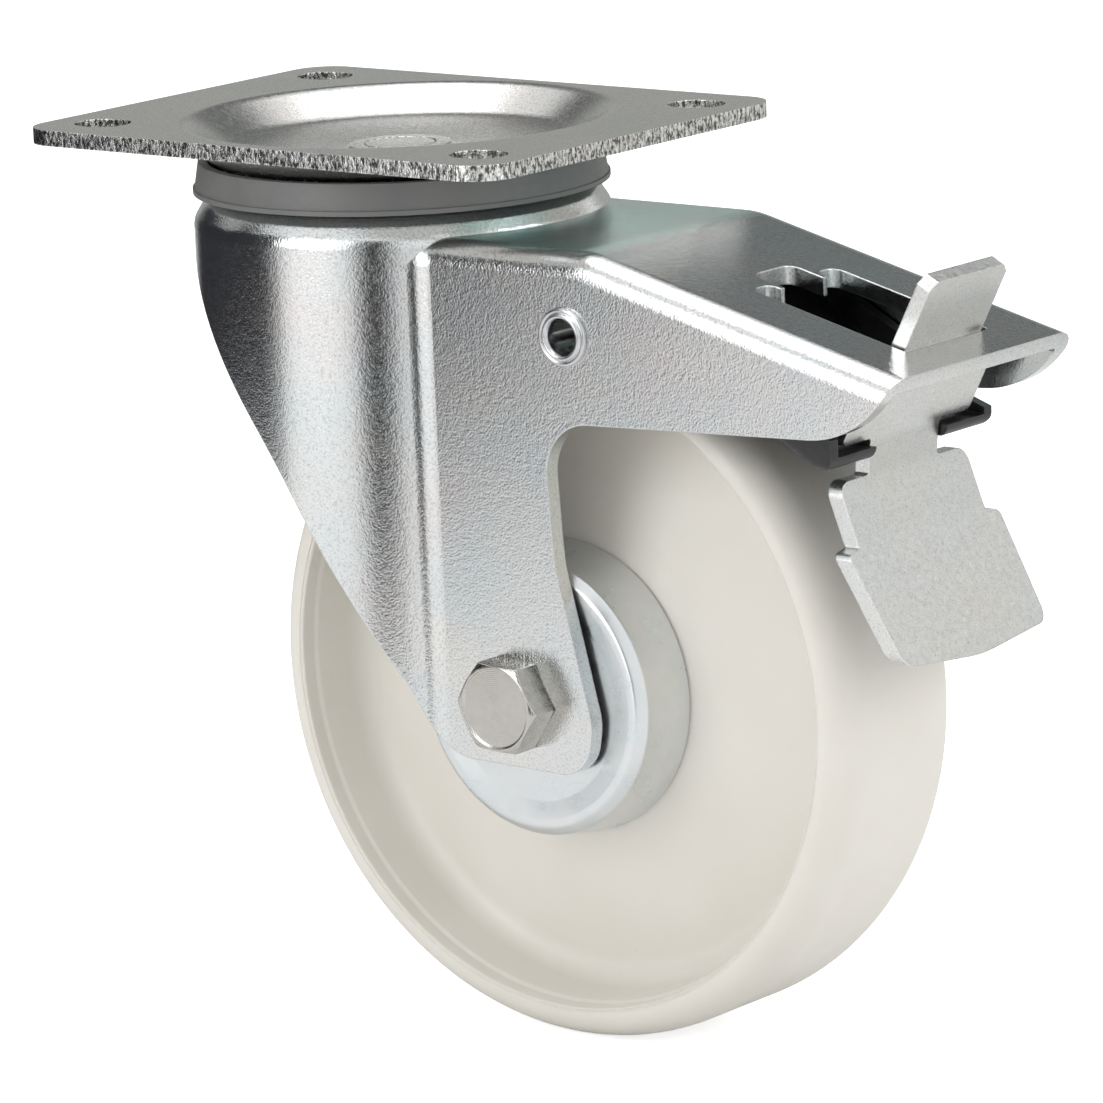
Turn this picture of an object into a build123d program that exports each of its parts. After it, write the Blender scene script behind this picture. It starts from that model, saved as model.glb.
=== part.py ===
from build123d import *
import math
import os

# Swivel castor with a wheel brake, in millimetres.
# The origin is the middle of the plate's top face, on the swivel axis. +Z is up and
# +X is the way the wheel trails. The near side is at -Y, the far side at +Y.

# Overall sizes
WHEEL_RADIUS = 80.0
TRAIL = 54.5

# Clearances
SLIDE = 0.05
RUNNING = 0.1
FREE = 0.3

# Top plate
PLATE_LENGTH = 136.0
PLATE_WIDTH = 105.0
PLATE_SHEET = 3.5
PLATE_CORNER = 9.0
HOLE_INSET_X = 13.5
HOLE_INSET_Y = 14.0
HOLE_WIDTH = 11.0
HOLE_LENGTH = 13.5
DISH_EDGE_WIDTH = 4.5
DISH_WALL_RUN = 8.5
DISH_WALL_DEPTH = 6.3
DISH_DEPTH = 8.0
DISH_FLAT_RADIUS = 14.0
DISH_RIM_BEND = 4.0
DISH_FLOOR_BEND = 5.0

# Kingpin
KINGPIN_RADIUS = 8.0
RIVET_HEAD_RADIUS = 12.0
RIVET_HEAD_HEIGHT = 1.5
RIVET_RING_RADIUS = 8.0
RIVET_RING_DEPTH = 0.35
KINGPIN_FOOT_HEIGHT = 4.5
KINGPIN_SLEEVE_WALL = 4.0

# Swivel ball races
SWIVEL_BALL_RADIUS = 3.5
UPPER_PITCH_INSET = 12.5
PITCH_STEP = 10.5
SWIVEL_BALL_SPACING = 11.0
RACE_SHEET = 3.5
RACE_TRACK_DEPTH = 1.0
RACE_RIM_OUTSET = 7.5
RACE_RIM_HEIGHT = 3.0
RACE_CORNER = 0.7

# Seal ring
SEAL_INSET = 2.5
SEAL_FLARE = 1.4
SEAL_WALL = 2.1
SEAL_TOP_BELOW_DISH = 0.5
SEAL_LIP_HEIGHT = 1.1
SEAL_LIP_STEP = 0.4
SEAL_SEAT_WIDTH = 2.6
SEAL_SEAT_HEIGHT = 2.0
SEAL_SEAT_LIFT = 0.5

# Fork sheet
FORK_SHEET = 4.0
CROWN_GAP = 4.5
CROWN_STEP_UNDER_SEAL = 3.4
CROWN_BEVEL_WIDTH = 3.5
CROWN_BEVEL_HEIGHT = 5.5
CROWN_EDGE_RADIUS = 4.8
CROWN_HOLE_INSET = 7.5
CROWN_SKIRT_HEIGHT = 12.8
CHANNEL_STEP = 5.0
CHANNEL_BREAK_FROM_AXLE = 22.5
CHANNEL_BREAK_RADIUS = 24.0
CHANNEL_SLOPE_DEG = 14.3
FORK_HALF_WIDTH = 34.0
FORK_REAR_PAST_WHEEL = 24.5
WHEEL_GAP_UNDER_CHANNEL = 17.0
FORK_BEND_RADIUS = 5.6
FORK_NECK_RADIUS = 8.0

# Leg outline seen from the side: corners as offsets from the axle with their rounding
LEAD_TOP_INSET = 11.0
LEAD_TOP_ROUNDING = 6.0
LEAD_BEND = (-56.0, 52.5, 110.0)
LOBE_FRONT = (-26.7, 1.0, 8.0)
LOBE_FRONT_CORNER = (-21.0, -14.2, 12.0)
LOBE_REAR_CORNER = (19.0, -15.0, 8.0)
LOBE_REAR = (21.1, -3.0, 12.0)
TRAIL_WAIST = (12.4, 31.8, 40.0)
TRAIL_CORNER_OUTSET = 10.7
TRAIL_CORNER_ROUNDING = 12.0
FLANGE_HEIGHT = 13.6
FLANGE_RISE = 3.2
FLANGE_END_INSET = 6.9
FLANGE_END_RADIUS = 25.6
FLANGE_END_SLOPE_DEG = 64.1

# Slot in the sloping sheet
SLOT_REAR_BAR = 9.7
SLOT_LENGTH = 40.5
SLOT_HALF_WIDTH = 15.0
SLOT_LOBE_LENGTH = 5.8
SLOT_LOBE_HALF_WIDTH = 7.0
SLOT_CUSP_HALF_WIDTH = 8.2
SLOT_CORNER = 3.0
SLOT_CUSP_ROUNDING = 2.4
SLOT_REAR_CORNER = 1.0

# Brake pivot, made by two hollow rivets
PIVOT_FROM_AXLE = 17.8
PIVOT_BELOW_CHANNEL = 18.2
EYELET_BORE_RADIUS = 3.65
EYELET_TUBE_RADIUS = 4.6
EYELET_FLANGE_RADIUS = 6.45
EYELET_FLANGE_HEIGHT = 1.6
EYELET_CREST = 0.72
EYELET_LIP = 1.008

# Axle
BOLT_RADIUS = 6.0
BOLT_HOLE_RADIUS = 6.25
HEX_ACROSS_FLATS = 19.0
BOLT_HEAD_HEIGHT = 7.5
BOLT_HEAD_TURN_DEG = 8.0
NUT_HEIGHT = 10.0
BOLT_END_LENGTH = 2.0
HEX_CHAMFER_DEG = 30.0
SLEEVE_RADIUS = 8.5
COLLAR_RADIUS = 11.0

# Wheel
WHEEL_LEG_GAP = 8.5
SHOULDER_WIDTH = 9.5
SHOULDER_DEPTH = 6.3
RIM_LIP_DEPTH = 7.8
RIM_LIP_DROP = 0.7
RIM_DEPTH = 10.0
WEB_RIM_HALF = 2.5
WEB_HUB_STEP = 13.0
WEB_HUB_RADIUS = 33.0
WEB_FILLET = 5.0
HUB_LEG_GAP = 3.0
HUB_EDGE = 1.0
HUB_BORE_RADIUS = 13.0

# Wheel bearings
BEARING_RADIUS = 20.0
BEARING_WIDTH = 12.0
BEARING_SETBACK = 1.5
BEARING_BALL_RADIUS = 3.37
BEARING_PITCH_RADIUS = 14.25
BEARING_BALL_COUNT = 8
RING_SHOULDER = 2.0

# Hub caps
CAP_FOOT_RADIUS = 33.3
CAP_FACE_RADIUS = 30.7
CAP_LEG_GAP = 0.9
CAP_SHEET = 1.2
CAP_EDGE_RADIUS = 2.4
CAP_HOLE_RADIUS = 12.0
CAP_GROOVE_RADIUS = 26.5
CAP_GROOVE_WIDTH = 0.9

# Brake plate, a channel of spring sheet that hangs from the eyelets. Its corners are
# offsets from the fork's rear top edge with their rounding
SPRING_SHEET = 2.6
SPRING_SIDE_GAP = 0.7
SPRING_BEND_RADIUS = 2.4
WEB_START = -71.0
WEB_SLOPE_DEG = 38.1
KNEE = (-42.5, -15.0, 5.0)
WEB_DIP = (-34.7, -16.1, 8.0)
WEB_HEEL = (-25.0, -21.5, 4.0)
WEB_END = (-19.7, -22.2, 3.0)
EAR_RADIUS = 9.0
WALL_TOP_REAR = -4.6
WALL_TOP_MID = (-59.0, 7.1, 30.0)
WALL_UNDER = (-58.0, -2.8, 0.0)
NECK_SIDE_GAP = 0.5
NECK_GAP_START = -27.0

# Brake pedal, bent sheet seen from the side by its rear face, from the fork's rear top edge
PEDAL_SHEET = 3.5
PEDAL_TOP = (-3.0, 17.4)
PEDAL_UPPER_BEND = (-21.7, -18.1)
PEDAL_LOWER_BEND = (-22.6, -25.9)
PEDAL_FOOT_BEND = (-17.8, -38.9)
PEDAL_END = (-2.8, -65.5)
PEDAL_BEND_RADII = (7.0, 8.0, 30.0)

# Brake pedal's outline, as half widths and levels below the fork's rear top edge
TAB_HALF_WIDTH = 14.0
TAB_FOOT = -1.7
TAB_CHAMFER = 2.0
PEDAL_HALF_WIDTH = 23.1
NOTCH_TOP = -17.5
NOTCH_LOW = -25.5
NECK_HALF_WIDTH = 12.5
FOOT_STEP = -39.1
FOOT_STEP_SLANT = 0.8
FOOT_HALF_WIDTH = 27.6
FOOT_END_HALF_WIDTH = 26.2
FOOT_CORNER = -62.9
FOOT_END = -65.1
FOOT_END_BOW = 60.0
PEDAL_FINE_ROUNDING = 0.8
PEDAL_ROUNDING = 3.0
PEDAL_STEP_ROUNDING = 1.5
FOOT_STEP_ROUNDING = 0.6
FOOT_ROUNDING = 3.5

# Head: radii follow from the dish, levels from the sheets laid on each other
DISH_RADIUS = PLATE_WIDTH / 2 - DISH_EDGE_WIDTH
UPPER_PITCH_RADIUS = DISH_RADIUS - UPPER_PITCH_INSET
LOWER_PITCH_RADIUS = UPPER_PITCH_RADIUS - PITCH_STEP
RACE_RIM_RADIUS = LOWER_PITCH_RADIUS + RACE_RIM_OUTSET
SEAL_TOP_RADIUS = DISH_RADIUS - SEAL_INSET
SEAL_FOOT_RADIUS = SEAL_TOP_RADIUS + SEAL_FLARE
CROWN_FLAT_RADIUS = SEAL_FOOT_RADIUS - CROWN_STEP_UNDER_SEAL
CROWN_RADIUS = CROWN_FLAT_RADIUS + CROWN_BEVEL_WIDTH
CROWN_HOLE_RADIUS = LOWER_PITCH_RADIUS - CROWN_HOLE_INSET
PLATE_UNDER_Z = -(DISH_DEPTH + PLATE_SHEET)
CROWN_DROP = DISH_DEPTH + PLATE_SHEET + CROWN_GAP
CROWN_UNDER_Z = -(CROWN_DROP + FORK_SHEET)
CROWN_SKIRT_Z = -(CROWN_DROP + CROWN_SKIRT_HEIGHT)
SEAL_HEIGHT = CROWN_DROP - DISH_DEPTH - SEAL_TOP_BELOW_DISH

# Fork: the wheel hangs below the channel, and the channel reaches past the wheel
CHANNEL_DROP = CROWN_DROP + CHANNEL_STEP
AXLE_Z = -(CHANNEL_DROP + FORK_SHEET + WHEEL_GAP_UNDER_CHANNEL + WHEEL_RADIUS)
FORK_REAR_X = TRAIL + WHEEL_RADIUS + FORK_REAR_PAST_WHEEL
CHANNEL_BREAK_X = TRAIL + CHANNEL_BREAK_FROM_AXLE
CHANNEL_FALL = (FORK_REAR_X - CHANNEL_BREAK_X) * math.tan(math.radians(CHANNEL_SLOPE_DEG))
REAR_TOP_Z = -round(CHANNEL_DROP + CHANNEL_FALL, 1)
FLANGE_LOW_Z = REAR_TOP_Z - FLANGE_HEIGHT
FLANGE_END_X = FORK_REAR_X - FLANGE_END_INSET
SLOT_REAR_X = FORK_REAR_X - SLOT_REAR_BAR
SLOT_FRONT_X = SLOT_REAR_X - SLOT_LENGTH
PIVOT_X = TRAIL + PIVOT_FROM_AXLE
PIVOT_Z = -(CHANNEL_DROP + PIVOT_BELOW_CHANNEL)
FAR_BELOW = AXLE_Z - 2 * WHEEL_RADIUS

# Widths between the legs
LEG_INNER_Y = FORK_HALF_WIDTH - FORK_SHEET
WHEEL_HALF_WIDTH = LEG_INNER_Y - WHEEL_LEG_GAP
TREAD_HALF_WIDTH = WHEEL_HALF_WIDTH - SHOULDER_WIDTH
HUB_HALF_LENGTH = LEG_INNER_Y - HUB_LEG_GAP
WEB_HUB_HALF = HUB_HALF_LENGTH - WEB_HUB_STEP
CAP_FACE_W = LEG_INNER_Y - CAP_LEG_GAP
BEARING_INNER_W = HUB_HALF_LENGTH - BEARING_SETBACK - BEARING_WIDTH
BEARING_OUTER_W = BEARING_INNER_W + BEARING_WIDTH
RIM_LIP_RADIUS = WHEEL_RADIUS - RIM_LIP_DEPTH
RIM_INNER_RADIUS = WHEEL_RADIUS - RIM_DEPTH
SPRING_HALF_WIDTH = LEG_INNER_Y - SPRING_SIDE_GAP
EAR_INNER_Y = SPRING_HALF_WIDTH - SPRING_SHEET
TINY = 0.01

# A round part on the axle or the brake pivot is turned about local Z, which is laid along +Y
ON_AXLE = Location((TRAIL, 0, AXLE_Z), (-90, 0, 0))
ON_PIVOT = Location((PIVOT_X, 0, PIVOT_Z), (-90, 0, 0))


def outline(*corners):
    """Closed face through corners given as (x, y, rounding radius)."""
    places = [corner[:2] for corner in corners]
    radii = [corner[2] for corner in corners]
    return make_face(FilletPolyline(*places, radius=radii, close=True))


def sharp(*places):
    """Closed face through corners without rounding."""
    return make_face(Polyline(*places, close=True))


def turned(face):
    """Solid of revolution about Z, from a face drawn as (radius, height)."""
    return revolve(Plane.XZ * face, Axis.Z)


def slab(face, half_width):
    """Face drawn as (x, z), made into a slab that reaches half_width each way along Y."""
    return extrude(Plane.XZ * face, amount=half_width, both=True)


def tube(outer, inner, low, high):
    """Plain tube about Z."""
    return turned(sharp((inner, low), (outer, low), (outer, high), (inner, high)))


def near_twin(solid):
    """The near side's copy of a far side part."""
    return mirror(solid, about=Plane.XZ)


def ball_row(pitch_radius, height, radius, count):
    """Separate balls on a circle about Z."""
    balls = PolarLocations(pitch_radius, count)
    return Compound(children=[Pos(0, 0, height) * place * Sphere(radius) for place in balls])


def ball_track(pitch_radius, height, radius):
    """The ring-shaped room that a ball row runs in."""
    return turned(Pos(pitch_radius, height) * Circle(radius + RUNNING))


# Swivel head

def dish_underside(radius):
    """Height of the sloping dish floor's underside at a radius."""
    run = DISH_RADIUS - DISH_WALL_RUN - DISH_FLAT_RADIUS
    slope = math.atan2(DISH_DEPTH - DISH_WALL_DEPTH, run)
    rise = (radius - DISH_FLAT_RADIUS) * math.tan(slope)
    return -DISH_DEPTH + rise - PLATE_SHEET / math.cos(slope)


UPPER_BALL_Z = (dish_underside(UPPER_PITCH_RADIUS) - CROWN_DROP) / 2
LOWER_BALL_Z = CROWN_UNDER_Z + RACE_TRACK_DEPTH - SWIVEL_BALL_RADIUS - RUNNING
RACE_TOP_Z = LOWER_BALL_Z - SWIVEL_BALL_RADIUS - RUNNING + RACE_TRACK_DEPTH
RACE_UNDER_Z = RACE_TOP_Z - RACE_SHEET


def top_plate():
    """Pressed plate: the dish is drawn in one sheet with the flat rim."""
    reach = math.hypot(PLATE_LENGTH, PLATE_WIDTH)
    path = FilletPolyline(
        (0, -DISH_DEPTH),
        (DISH_FLAT_RADIUS, -DISH_DEPTH),
        (DISH_RADIUS - DISH_WALL_RUN, -DISH_WALL_DEPTH),
        (DISH_RADIUS, 0),
        (reach, 0),
        radius=[DISH_FLAT_RADIUS, DISH_FLOOR_BEND, DISH_RIM_BEND],
    )
    section = make_face(offset(path, amount=PLATE_SHEET, side=Side.RIGHT))
    plan = RectangleRounded(PLATE_LENGTH, PLATE_WIDTH, PLATE_CORNER)
    spacing_x = PLATE_LENGTH - 2 * HOLE_INSET_X
    spacing_y = PLATE_WIDTH - 2 * HOLE_INSET_Y
    holes = GridLocations(spacing_x, spacing_y, 2, 2)
    plan -= holes * SlotOverall(HOLE_LENGTH, HOLE_WIDTH)
    plan -= Circle(KINGPIN_RADIUS + SLIDE)
    plate = turned(section) & extrude(plan, amount=reach, both=True)
    return plate - ball_track(UPPER_PITCH_RADIUS, UPPER_BALL_Z, SWIVEL_BALL_RADIUS)


def kingpin():
    """Rivet with a foot below the lower race and a closed head in the dish."""
    head_top = RIVET_HEAD_HEIGHT - DISH_DEPTH
    foot_low = RACE_UNDER_Z - KINGPIN_FOOT_HEIGHT
    section = outline(
        (0, head_top, 0),
        (RIVET_HEAD_RADIUS, head_top, RIVET_HEAD_HEIGHT / 2),
        (RIVET_HEAD_RADIUS, -DISH_DEPTH, 0),
        (KINGPIN_RADIUS, -DISH_DEPTH, 0),
        (KINGPIN_RADIUS, RACE_UNDER_Z, 0),
        (RIVET_HEAD_RADIUS, RACE_UNDER_Z, 0),
        (RIVET_HEAD_RADIUS, foot_low, KINGPIN_FOOT_HEIGHT / 2),
        (0, foot_low, 0),
    )
    ring = Pos(RIVET_RING_RADIUS, head_top) * Circle(RIVET_RING_DEPTH)
    return turned(section) - turned(ring)


def kingpin_sleeve():
    """Distance sleeve between the dish floor and the lower race."""
    inner = KINGPIN_RADIUS + SLIDE
    return tube(inner + KINGPIN_SLEEVE_WALL, inner, RACE_TOP_Z, PLATE_UNDER_Z)


def lower_race():
    """Pressed cup that carries the lower balls under the crown."""
    rim_top = RACE_TOP_Z + RACE_RIM_HEIGHT
    inner = KINGPIN_RADIUS + SLIDE
    rim_inner = RACE_RIM_RADIUS - RACE_SHEET / 2
    section = outline(
        (inner, RACE_UNDER_Z, 0),
        (RACE_RIM_RADIUS, RACE_UNDER_Z, RACE_SHEET / 2),
        (RACE_RIM_RADIUS, rim_top, RACE_CORNER),
        (rim_inner, rim_top, RACE_CORNER),
        (rim_inner, RACE_TOP_Z, RACE_CORNER),
        (inner, RACE_TOP_Z, 0),
    )
    return turned(section) - ball_track(LOWER_PITCH_RADIUS, LOWER_BALL_Z, SWIVEL_BALL_RADIUS)


def swivel_balls(pitch_radius, height):
    """One row of swivel balls."""
    count = int(2 * math.pi * pitch_radius / SWIVEL_BALL_SPACING)
    return ball_row(pitch_radius, height, SWIVEL_BALL_RADIUS, count)


def seal_ring():
    """Moulded ring that sits on the crown and covers the upper balls."""
    top = SEAL_HEIGHT - CROWN_DROP
    foot = SEAL_SEAT_LIFT - CROWN_DROP
    seat_outer = CROWN_FLAT_RADIUS - SEAL_SEAT_LIFT
    seat_inner = seat_outer - SEAL_SEAT_WIDTH
    lip = foot + SEAL_LIP_HEIGHT
    section = sharp(
        (SEAL_TOP_RADIUS - SEAL_WALL, top),
        (SEAL_TOP_RADIUS, top),
        (SEAL_FOOT_RADIUS - SEAL_LIP_STEP, lip),
        (SEAL_FOOT_RADIUS, lip),
        (SEAL_FOOT_RADIUS, foot),
        (seat_outer, foot),
        (seat_outer, -CROWN_DROP),
        (seat_inner, -CROWN_DROP),
        (seat_inner, foot + SEAL_SEAT_HEIGHT),
        (SEAL_TOP_RADIUS - SEAL_WALL, foot + SEAL_SEAT_HEIGHT),
    )
    return turned(section)


# Fork, pressed from one sheet

def fork_form(inset):
    """The fork's outer form, or its hollow when the inset is the sheet's thickness."""
    wall = CROWN_RADIUS - inset
    half_width = FORK_HALF_WIDTH - inset
    top = -(CHANNEL_DROP + inset)
    rear = FORK_REAR_X + inset
    slope = math.radians(CHANNEL_SLOPE_DEG)
    break_x = CHANNEL_BREAK_X - inset * math.tan(slope / 2)
    rear_top = top - (rear - break_x) * math.tan(slope)

    # Plan: the round crown runs into two straight legs through a hollow corner
    plan = Circle(wall) + Pos(rear / 2, 0) * Rectangle(rear, 2 * half_width)
    neck_x = math.sqrt(wall**2 - half_width**2)
    necks = [v for v in plan.vertices() if abs(v.X - neck_x) < TINY]
    plan = fillet(necks, FORK_NECK_RADIUS + inset)

    # Side: flat channel top that breaks down towards the rear
    side = outline(
        (-CROWN_RADIUS, top, 0),
        (break_x, top, CHANNEL_BREAK_RADIUS - inset),
        (rear, rear_top, 0),
        (rear, FAR_BELOW, 0),
        (-CROWN_RADIUS, FAR_BELOW, 0),
    )
    form = extrude(plan, amount=FAR_BELOW) & slab(side, CROWN_RADIUS)

    # The sheet's bend follows the whole top edge, apart from the cut rear end
    def on_bend(edge):
        middle = edge.center()
        level = top - max(0.0, middle.X - break_x) * math.tan(slope)
        across = edge.geom_type == GeomType.LINE and abs(edge.tangent_at(0).Y) > 1 - TINY
        return abs(middle.Z - level) < FORK_SHEET / 8 and not across

    form = fillet(form.edges().filter_by(on_bend), FORK_BEND_RADIUS - inset)

    # Crown: a flat top with a bevel down to the round wall
    bevel = math.atan2(CROWN_BEVEL_HEIGHT, CROWN_RADIUS - CROWN_FLAT_RADIUS)
    flat = CROWN_FLAT_RADIUS - inset * math.tan(bevel / 2)
    crown_top = -(CROWN_DROP + inset)
    ridge = -(CROWN_DROP + CROWN_BEVEL_HEIGHT) - inset * math.tan((math.pi / 2 - bevel) / 2)
    crown = turned(outline(
        (0, crown_top, 0),
        (flat, crown_top, CROWN_EDGE_RADIUS - inset),
        (wall, ridge, CROWN_EDGE_RADIUS - inset),
        (wall, ridge - FORK_BEND_RADIUS, 0),
        (0, ridge - FORK_BEND_RADIUS, 0),
    ))
    return form + crown


def from_axle(corner):
    """Corner given from the axle, put in the castor's frame."""
    return (TRAIL + corner[0], AXLE_Z + corner[1], *corner[2:])


def from_rear(corner):
    """Corner given from the fork's rear top edge, put in the castor's frame."""
    return (FORK_REAR_X + corner[0], REAR_TOP_Z + corner[1], *corner[2:])


def leg_outline():
    """What the side cut leaves of the fork, seen along Y."""
    past = FORK_SHEET * 2
    end_rise = math.tan(math.radians(FLANGE_END_SLOPE_DEG))
    end_x = FORK_REAR_X + past
    return outline(
        (-CROWN_RADIUS - past, past, 0),
        (-CROWN_RADIUS - past, CROWN_SKIRT_Z, 0),
        (LEAD_TOP_INSET - CROWN_RADIUS, CROWN_SKIRT_Z, LEAD_TOP_ROUNDING),
        from_axle(LEAD_BEND),
        from_axle(LOBE_FRONT),
        from_axle(LOBE_FRONT_CORNER),
        from_axle(LOBE_REAR_CORNER),
        from_axle(LOBE_REAR),
        from_axle(TRAIL_WAIST),
        (TRAIL + TRAIL_CORNER_OUTSET, FLANGE_LOW_Z - FLANGE_RISE, TRAIL_CORNER_ROUNDING),
        (FLANGE_END_X, FLANGE_LOW_Z, FLANGE_END_RADIUS),
        (end_x, FLANGE_LOW_Z + (end_x - FLANGE_END_X) * end_rise, 0),
        (end_x, past, 0),
    )


def fork_slot():
    """Plan of the slot: a wide opening with a middle lobe between two cusps."""
    lobe_x = SLOT_FRONT_X - SLOT_LOBE_LENGTH
    middle = outline(
        (lobe_x, -SLOT_LOBE_HALF_WIDTH, SLOT_CORNER),
        (SLOT_REAR_X, -SLOT_LOBE_HALF_WIDTH, 0),
        (SLOT_REAR_X, SLOT_LOBE_HALF_WIDTH, 0),
        (lobe_x, SLOT_LOBE_HALF_WIDTH, SLOT_CORNER),
    )
    sides = outline(
        (SLOT_FRONT_X, SLOT_CUSP_HALF_WIDTH, SLOT_CUSP_ROUNDING),
        (SLOT_FRONT_X, SLOT_HALF_WIDTH, SLOT_CORNER),
        (SLOT_REAR_X, SLOT_HALF_WIDTH, SLOT_REAR_CORNER),
        (SLOT_REAR_X, SLOT_CUSP_HALF_WIDTH, 0),
    )
    rear_length = SLOT_LENGTH - SLOT_CORNER
    rear = Pos(SLOT_REAR_X - rear_length / 2, 0) * Rectangle(rear_length, 2 * SLOT_CUSP_HALF_WIDTH)
    return middle + sides + mirror(sides, about=Plane.XZ) + rear


def fork():
    """Pressed fork: crown, two legs and the slotted rear channel in one sheet."""
    body = fork_form(0) - fork_form(FORK_SHEET)
    body &= slab(leg_outline(), 2 * CROWN_RADIUS)
    body -= extrude(fork_slot(), amount=-2 * FORK_REAR_X)
    body -= ON_AXLE * Cylinder(BOLT_HOLE_RADIUS, 4 * FORK_HALF_WIDTH)
    body -= ON_PIVOT * Cylinder(EYELET_TUBE_RADIUS + SLIDE, 4 * FORK_HALF_WIDTH)
    body -= Cylinder(CROWN_HOLE_RADIUS, 4 * CROWN_DROP)
    body -= ball_track(UPPER_PITCH_RADIUS, UPPER_BALL_Z, SWIVEL_BALL_RADIUS)
    body -= ball_track(LOWER_PITCH_RADIUS, LOWER_BALL_Z, SWIVEL_BALL_RADIUS)
    return body


def eyelet():
    """Hollow rivet through the far leg and the brake plate's ear."""
    outer = FORK_HALF_WIDTH + EYELET_FLANGE_HEIGHT
    inner = EAR_INNER_Y - FREE - EYELET_FLANGE_HEIGHT
    section = outline(
        (EYELET_BORE_RADIUS, inner, EYELET_CREST),
        (EYELET_FLANGE_RADIUS, inner, EYELET_CREST),
        (EYELET_FLANGE_RADIUS, EAR_INNER_Y - FREE, 0),
        (EYELET_TUBE_RADIUS, EAR_INNER_Y - FREE, 0),
        (EYELET_TUBE_RADIUS, FORK_HALF_WIDTH, 0),
        (EYELET_FLANGE_RADIUS, FORK_HALF_WIDTH, 0),
        (EYELET_FLANGE_RADIUS, outer, EYELET_CREST),
        (EYELET_BORE_RADIUS, outer, EYELET_LIP),
    )
    return ON_PIVOT * turned(section)


# Axle

def hexagon(low, height, bevel_low, bevel_high):
    """Hexagon prism about Z with turned bevels at one or both ends."""
    across = HEX_ACROSS_FLATS / 2
    corner = across / math.cos(math.pi / 6)
    drop = (corner - across) * math.tan(math.radians(HEX_CHAMFER_DEG))
    high = low + height
    prism = Pos(0, 0, low) * extrude(RegularPolygon(corner, 6), amount=height)
    trim = turned(sharp(
        (0, low),
        (across if bevel_low else corner, low),
        (corner, low + drop if bevel_low else low + TINY),
        (corner, high - drop if bevel_high else high - TINY),
        (across if bevel_high else corner, high),
        (0, high),
    ))
    return prism & trim


def axle_bolt():
    """Bolt with its hexagon head on the near leg."""
    end = FORK_HALF_WIDTH + NUT_HEIGHT + BOLT_END_LENGTH
    shank = turned(sharp(
        (0, -FORK_HALF_WIDTH - BOLT_HEAD_HEIGHT / 2),
        (BOLT_RADIUS, -FORK_HALF_WIDTH - BOLT_HEAD_HEIGHT / 2),
        (BOLT_RADIUS, end - BOLT_END_LENGTH / 2),
        (BOLT_RADIUS - BOLT_END_LENGTH / 2, end),
        (0, end),
    ))
    head = hexagon(-FORK_HALF_WIDTH - BOLT_HEAD_HEIGHT, BOLT_HEAD_HEIGHT, True, False)
    return ON_AXLE * (shank + Rot(0, 0, BOLT_HEAD_TURN_DEG) * head)


def axle_nut():
    """Plain nut on the far leg."""
    nut = hexagon(FORK_HALF_WIDTH, NUT_HEIGHT, False, True)
    return ON_AXLE * (nut - Cylinder(BOLT_RADIUS + SLIDE, 4 * FORK_HALF_WIDTH))


def axle_sleeve():
    """Tube that the legs are clamped against."""
    return ON_AXLE * tube(SLEEVE_RADIUS, BOLT_HOLE_RADIUS, -LEG_INNER_Y, LEG_INNER_Y)


def bearing_spacer():
    """Tube between the inner rings of the two bearings."""
    inner = SLEEVE_RADIUS + SLIDE
    return ON_AXLE * tube(COLLAR_RADIUS, inner, -BEARING_INNER_W, BEARING_INNER_W)


def bearing_collar():
    """Short tube between the far bearing and the far leg."""
    inner = SLEEVE_RADIUS + SLIDE
    return ON_AXLE * tube(COLLAR_RADIUS, inner, BEARING_OUTER_W, LEG_INNER_Y)


# Wheel and bearings

BEARING_MIDDLE_W = (BEARING_INNER_W + BEARING_OUTER_W) / 2


def bearing_ring(outer, inner):
    """One ring of the far bearing with its ball track."""
    ring = tube(outer, inner, BEARING_INNER_W, BEARING_OUTER_W)
    track = ball_track(BEARING_PITCH_RADIUS, BEARING_MIDDLE_W, BEARING_BALL_RADIUS)
    return ON_AXLE * (ring - track)


def bearing_balls():
    """Balls of the far bearing."""
    row = ball_row(BEARING_PITCH_RADIUS, BEARING_MIDDLE_W, BEARING_BALL_RADIUS, BEARING_BALL_COUNT)
    return ON_AXLE * row


def web_side(radius):
    """Distance of the conical web's side from the wheel's middle."""
    rise = (WEB_HUB_HALF - WEB_RIM_HALF) / (RIM_INNER_RADIUS - WEB_HUB_RADIUS)
    return WEB_HUB_HALF + (WEB_HUB_RADIUS - radius) * rise


def cap_radius(w):
    """Outer radius of the hub cap's tapered wall at a distance from the wheel's middle."""
    share = (w - WEB_HUB_HALF) / (CAP_FACE_W - WEB_HUB_HALF)
    return CAP_FOOT_RADIUS + share * (CAP_FACE_RADIUS - CAP_FOOT_RADIUS)


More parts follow.
